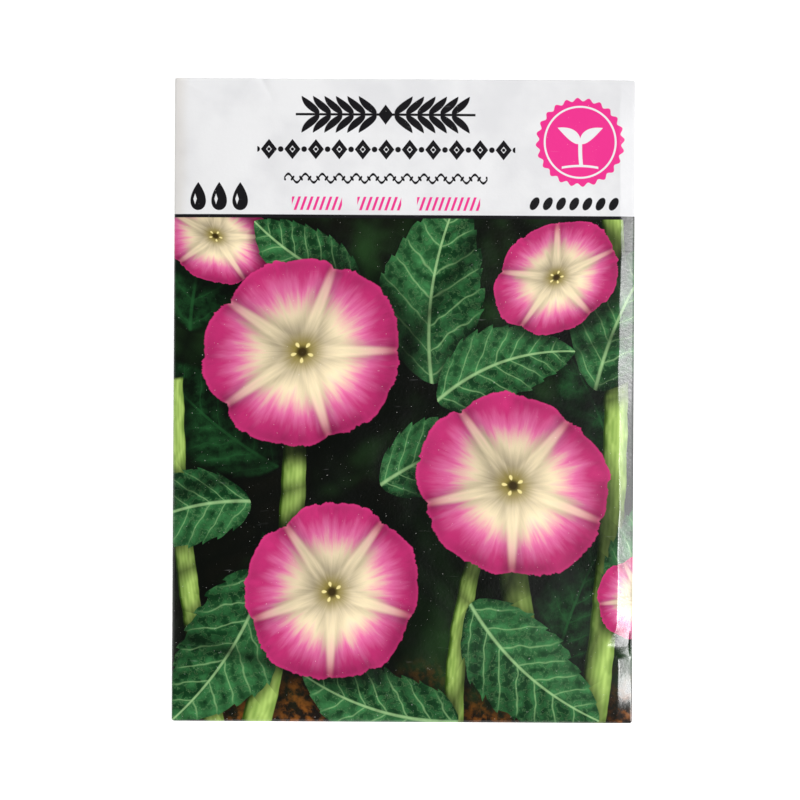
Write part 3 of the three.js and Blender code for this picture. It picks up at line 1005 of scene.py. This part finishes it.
BACK_WHITE = srgb(233, 233, 231)
BACK_GREEN = srgb(34, 92, 46)
BACK_GREY = srgb(96, 96, 98)
BORDER = (34.5, 36.0)
NOTE_LINES = (-29.0, 29.0, -30.0, 12.0)
NOTE_LINE_COUNT = 7
SPROUT_Y = 21


def paint_back(pen, x, y):
    """A plain back: a thin green border, a sprout and ruled lines. Nothing is lettered."""
    edge = (abs(x) - BORDER[0]).most(abs(y) - BORDER[1])
    colour = pen.mix(BACK_WHITE, BACK_GREEN, filled(pen, abs(edge) - 0.3))
    left, right, low, high = NOTE_LINES
    lines = filled(pen, abs(repeated(y, low, high, NOTE_LINE_COUNT)) - 0.12)
    lines = lines * band(pen, y, low, high) * band(pen, x, left, right)
    colour = pen.mix(colour, BACK_GREY, lines)
    side = abs(x)
    along = side * 0.86 + (y - SPROUT_Y) * 0.5
    off = (y - SPROUT_Y) * 0.86 - side * 0.5
    share = (along / 11.0).clamped()
    bow, half_width = share * (1 - share) * 3.0, (share**0.6) * (1 - share) * 6.2
    leaf = pen.rise(abs(off - bow) - half_width, -0.02, -0.14)
    stalk = filled(pen, side - 0.45) * band(pen, y, 15.5, 22.0)
    return pen.mix(colour, BACK_GREEN, leaf.most(stalk))


def new_material(name):
    material = bpy.data.materials.new(name)
    material.use_nodes = True
    tree = material.node_tree
    shader = tree.nodes["Principled BSDF"]
    return material, Pen(tree), shader


def print_place(pen):
    """The flat sheet's own coordinates, in millimetres."""
    place = pen.node("ShaderNodeUVMap", uv_map="Print")
    split = pen.node("ShaderNodeSeparateXYZ")
    pen.wire(split.inputs[0], place.outputs[0])
    return Field(pen, split.outputs[0]), Field(pen, split.outputs[1])


def object_place(pen):
    """Coordinates in the packet's frame, in millimetres."""
    place = pen.node("ShaderNodeTexCoord")
    split = pen.node("ShaderNodeSeparateXYZ")
    pen.wire(split.inputs[0], place.outputs["Object"])
    return tuple(Field(pen, socket) * (1 / MM) for socket in split.outputs)


def cover(pen, shader, colour, roughness, height, strength, distance):
    """Gives a shader its colour, roughness and fine relief. The relief's distance is in metres."""
    node = pen.node("ShaderNodeBump")
    pen.wire(node.inputs["Strength"], strength)
    pen.wire(node.inputs["Distance"], distance)
    pen.wire(node.inputs["Height"], height)
    pen.wire(shader.inputs["Normal"], node.outputs[0])
    pen.wire(shader.inputs["Base Color"], colour)
    pen.wire(shader.inputs["Roughness"], roughness)


DUST = srgb(240, 238, 232)
RUB = srgb(235, 235, 235)
GLOSS = 0.15


def coated_paper(name, paint, dull_above):
    """Glossy printed paper with the tiny specks and rubs of handling. Above a height on the sheet
    it shines less where it is pale, because there is no ink on it."""
    material, pen, shader = new_material(name)
    x, y = print_place(pen)
    colour = paint(pen, x, y)
    specks = pen.noise(x, y, 1.0, scale=2.6, detail=2.0, roughness=0.6)
    dust = pen.rise(specks, 0.735, 0.76) * 0.35
    colour = pen.mix(colour, DUST, dust)
    rub = pen.noise(x * 0.35, y * 2.4, 4.0, scale=0.5, detail=2.0, roughness=0.7)
    colour = pen.mix(colour, RUB, pen.rise(rub, 0.68, 0.86) * 0.1)
    cloud = pen.noise(x, y, 2.0, scale=0.22, detail=2.0, roughness=0.6)
    split = pen.node("ShaderNodeSeparateColor")
    pen.wire(split.inputs[0], colour)
    paleness = Field(pen, split.outputs[0])
    bare = pen.rise(y, dull_above - 0.1, dull_above + 0.1) * paleness
    roughness = GLOSS + cloud * 0.1 + dust * 0.6 + bare * 0.58
    orange_peel = pen.noise(x, y, 6.0, scale=1.5, detail=2.0, roughness=0.6)
    cover(pen, shader, colour, roughness, orange_peel, 0.4, 0.00006)
    shader.inputs["IOR"].default_value = 1.5
    shader.inputs["Coat Weight"].default_value = 0.12
    shader.inputs["Coat Roughness"].default_value = 0.18
    return material


def bare_paper():
    """The sheet's uncoated side and its cut edges."""
    material, pen, shader = new_material("bare_paper")
    x, y = print_place(pen)
    fibre = pen.noise(x * 0.6, y * 2.2, 3.0, scale=2.2, detail=4.0, roughness=0.65)
    mottle = pen.noise(x, y, 8.0, scale=0.3, detail=3.0)
    colour = pen.mix(srgb(226, 223, 214), srgb(243, 241, 235), fibre)
    colour = pen.brighten(colour, 0.94 + mottle * 0.1)
    cover(pen, shader, colour, 0.72 + fibre * 0.16, fibre, 0.4, 0.00004)
    return material


def glue_material():
    material, pen, shader = new_material("dried_glue")
    x, y, z = object_place(pen)
    smear = pen.noise(x * 0.4, y * 1.6, z, scale=0.9, detail=3.0)
    bubbles = pen.noise(x, y, 4.0, scale=3.0, detail=1.0)
    colour = pen.mix(srgb(214, 202, 160), srgb(238, 230, 200), smear)
    colour = pen.mix(colour, srgb(248, 244, 226), pen.rise(bubbles, 0.62, 0.7) * 0.5)
    cover(pen, shader, colour, 0.3 + smear * 0.25, smear, 0.3, 0.00003)
    return material


def seed_material():
    material, pen, shader = new_material("seed_skin")
    x, y, z = object_place(pen)
    tint = pen.noise(x, y, z, scale=0.8, detail=2.0)
    pits = pen.noise(x, y, z, scale=6.0, detail=3.0, roughness=0.6)
    colour = pen.mix(srgb(70, 34, 24), srgb(128, 74, 46), tint)
    colour = pen.mix(colour, srgb(38, 20, 16), pen.rise(pits, 0.6, 0.72) * 0.6)
    cover(pen, shader, colour, 0.45 + pits * 0.3, pits, 0.5, 0.00008)
    return material


def floor_material():
    material, pen, shader = new_material("floor_paint")
    x, y, _ = object_place(pen)
    grain = pen.noise(x, y, 1.0, scale=0.02, detail=3.0)
    colour = pen.mix(srgb(247, 247, 247), srgb(251, 251, 250), grain)
    pen.wire(shader.inputs["Base Color"], colour)
    shader.inputs["Roughness"].default_value = 0.9
    shader.inputs["Specular IOR Level"].default_value = 0.0
    shader.inputs["Emission Color"].default_value = (1.0, 1.0, 1.0, 1.0)
    shader.inputs["Emission Strength"].default_value = 0.45
    material.cycles.emission_sampling = "NONE"
    return material


def ball(segments=12, rings=8):
    """Points and faces of a ball of radius 1."""
    points = [(0.0, 0.0, 1.0)]
    for ring in range(1, rings):
        polar = math.pi * ring / rings
        for segment in range(segments):
            turn = 2 * math.pi * segment / segments
            out = math.sin(polar)
            points.append((out * math.cos(turn), out * math.sin(turn), math.cos(polar)))
    points.append((0.0, 0.0, -1.0))
    faces = [(0, 1 + s, 1 + (s + 1) % segments) for s in range(segments)]
    for ring in range(rings - 2):
        first = 1 + ring * segments
        for s in range(segments):
            after = (s + 1) % segments
            faces.append((first + s, first + segments + s, first + segments + after, first + after))
    last = 1 + (rings - 2) * segments
    faces += [(last + s, len(points) - 1, last + (s + 1) % segments) for s in range(segments)]
    return np.array(points), faces


# How much the seeds differ: their size, their two shorter axes, and how far they lean over.
SEED_SIZES = (0.93, 1.03)
SECOND_AXIS = (0.93, 1.0)
THIRD_AXIS = (0.9, 0.97)
SEED_LEAN = 0.5
SEED_CLEARANCE = 0.03


def seed_points(draw, centre_x, centre_y, shape):
    """A ball's points as one seed, a little flattened, that lies on the back panel."""
    radius = SEED_DIAMETER / 2 * draw.uniform(*SEED_SIZES)
    flat = np.array([1.0, draw.uniform(*SECOND_AXIS), draw.uniform(*THIRD_AXIS)])
    turn = draw.uniform(0, math.pi)
    lean = draw.uniform(-SEED_LEAN, SEED_LEAN)
    spin = np.array([
        [math.cos(turn), -math.sin(turn), 0], [math.sin(turn), math.cos(turn), 0], [0, 0, 1],
    ])
    tip = np.array([
        [1, 0, 0], [0, math.cos(lean), -math.sin(lean)], [0, math.sin(lean), math.cos(lean)],
    ])
    points = (shape * flat * radius) @ tip.T @ spin.T
    lift = PAPER + SEED_CLEARANCE - points[:, 2].min()
    return (points + np.array([centre_x, centre_y, lift])) * MM


def seed_mesh(name, places, draw):
    shape, faces = ball()
    points = np.concatenate([seed_points(draw, x, y, shape) for x, y in places])
    all_faces = []
    for i in range(len(places)):
        all_faces += [tuple(v + i * len(shape) for v in face) for face in faces]
    mesh = bpy.data.meshes.new(name)
    mesh.from_pydata(points.tolist(), [], all_faces)
    mesh.shade_smooth()
    return mesh


BED_CENTRE = (-1.0, -26.0)
BED_HALF = (26.0, 10.5)
BED_PITCH = SEED_DIAMETER * 1.07
ROW_PITCH = 0.87
BED_JITTER = 0.03
SEEDS_SEED = 5


def bed_places(draw):
    """Close-packed places over the bed's oval, each a little off its row."""
    places = []
    rows = int(BED_HALF[1] / (BED_PITCH * ROW_PITCH)) + 1
    columns = int(BED_HALF[0] / BED_PITCH) + 1
    for row in range(-rows, rows + 1):
        for column in range(-columns, columns + 1):
            x = (column + 0.5 * (row % 2)) * BED_PITCH
            y = row * BED_PITCH * ROW_PITCH
            if (x / BED_HALF[0]) ** 2 + (y / BED_HALF[1]) ** 2 < 1:
                off_x = draw.uniform(-BED_JITTER, BED_JITTER)
                off_y = draw.uniform(-BED_JITTER, BED_JITTER)
                places.append((BED_CENTRE[0] + x + off_x, BED_CENTRE[1] + y + off_y))
    return places


def add_seeds():
    draw = random.Random(SEEDS_SEED)
    skin = seed_material()
    bed = add_object("seeds_in_bed", seed_mesh("seeds_in_bed", bed_places(draw), draw))
    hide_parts("seed_bed")
    pieces = [bed]
    for name in sorted(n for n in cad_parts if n.startswith("loose_seed_")):
        low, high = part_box(name)
        middle = ((low[0] + high[0]) / 2 / MM, (low[1] + high[1]) / 2 / MM)
        mesh = seed_mesh(name + "_round", [middle], draw)
        seed = add_object(name.replace("loose_seed", "single_seed"), mesh)
        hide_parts(name)
        pieces.append(seed)
    for piece in pieces:
        piece.data.materials.append(skin)
        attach(piece, "root")


def add_sheet():
    sheet = build_sheet()
    sheet.data.materials.append(coated_paper("printed_front", paint_front, RULE[1]))
    sheet.data.materials.append(coated_paper("printed_back", paint_back, -HALF_HEIGHT))
    sheet.data.materials.append(bare_paper())
    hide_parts("paper_envelope")
    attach(sheet, "root")


def dress_glue():
    glue = glue_material()
    for name in ("bottom_flap_glue", "top_flap_glue", "side_seam_glue"):
        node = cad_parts[name]
        node.data.materials.clear()
        node.data.materials.append(glue)


# Half the floor's width, and how far it lies under the packet, in metres.
FLOOR_HALF = 1.5
FLOOR_GAP = 0.00005


def add_floor():
    mesh = bpy.data.meshes.new("floor")
    corners = [(x * FLOOR_HALF, y * FLOOR_HALF, 0) for x, y in ((-1, -1), (1, -1), (1, 1), (-1, 1))]
    mesh.from_pydata(corners, [], [(0, 1, 2, 3)])
    floor = add_object("floor", mesh)
    floor.location.z = -FLOOR_GAP
    floor.data.materials.append(floor_material())


def add_lamp(name, place, turn, size, radiance):
    """A flat soft lamp of an even radiance."""
    lamp = bpy.data.lights.new(name, "AREA")
    lamp.shape = "RECTANGLE"
    lamp.size, lamp.size_y = size
    lamp.energy = math.pi * radiance * size[0] * size[1]
    holder = bpy.data.objects.new(name, lamp)
    bpy.context.scene.collection.objects.link(holder)
    holder.location = place
    holder.rotation_euler = turn


# Lamps that face the packet: name, azimuth and elevation in degrees, distance, size and radiance.
# The right-hand ones show in the slope along the right fold.
SOFTBOXES = (
    ("right_high_softbox", -1, 51, 1.6, (0.42, 0.3), 11.0),
    ("right_low_softbox", -2.5, 28, 1.6, (0.38, 1.04), 5.5),
    ("right_foot_softbox", -16, 51, 1.6, (0.46, 0.5), 17.0),
    ("left_softbox", 180, 28, 0.9, (1.2, 0.5), 1.4),
    ("heading_softbox", 90, 38, 0.9, (0.8, 0.4), 3.3),
    ("foot_softbox", 270, 38, 0.9, (0.8, 0.4), 2.0),
)
SKY_STRENGTH = 0.05


def add_softbox(name, azimuth, elevation, distance, size, radiance):
    """A soft lamp that faces the packet. Azimuth 0 is to the right and 90 towards the heading."""
    a, e = math.radians(azimuth), math.radians(elevation)
    flat = distance * math.cos(e)
    place = (flat * math.cos(a), flat * math.sin(a), distance * math.sin(e))
    add_lamp(name, place, (math.pi / 2 - e, 0.0, a + math.pi / 2), size, radiance)


def add_lights():
    for softbox in SOFTBOXES:
        add_softbox(*softbox)
    add_lamp("right_veil", (0.4, -0.2, 1.18), (0.0, 0.0, 0.0), (0.6, 0.6), 0.35)
    world = bpy.data.worlds.new("studio")
    world.use_nodes = True
    sky = world.node_tree.nodes["Background"]
    sky.inputs["Color"].default_value = (1, 1, 1, 1)
    sky.inputs["Strength"].default_value = SKY_STRENGTH
    bpy.context.scene.world = world


# The photograph is 800 pixels wide, and the packet in it is 460.5 pixels wide, with its middle a
# little off and a slight turn. The camera's height is in metres.
PHOTO_SIZE = 800
PACKET_PIXELS = 460.5
PACKET_MIDDLE = (403.5, 400.5)
PACKET_TURN = math.radians(0.32)
CAMERA_HEIGHT = 0.8
SENSOR_WIDTH = 36.0


def add_camera():
    per_pixel = PACKET_WIDTH / PACKET_PIXELS * MM
    lens = bpy.data.cameras.new("camera")
    lens.sensor_width = SENSOR_WIDTH
    lens.lens = SENSOR_WIDTH * (CAMERA_HEIGHT - FOLDED_EDGE * MM) / (PHOTO_SIZE * per_pixel)
    camera = bpy.data.objects.new("camera", lens)
    bpy.context.scene.collection.objects.link(camera)
    off_x = (PHOTO_SIZE / 2 - PACKET_MIDDLE[0]) * per_pixel
    off_y = (PACKET_MIDDLE[1] - PHOTO_SIZE / 2) * per_pixel
    camera.location = (off_x, off_y, CAMERA_HEIGHT)
    camera.rotation_euler = (0, 0, PACKET_TURN)
    bpy.context.scene.camera = camera


add_camera()
add_sheet()
add_seeds()
dress_glue()
add_floor()
add_lights()
bpy.context.scene.view_settings.view_transform = "Standard"

bpy.context.view_layer.update()
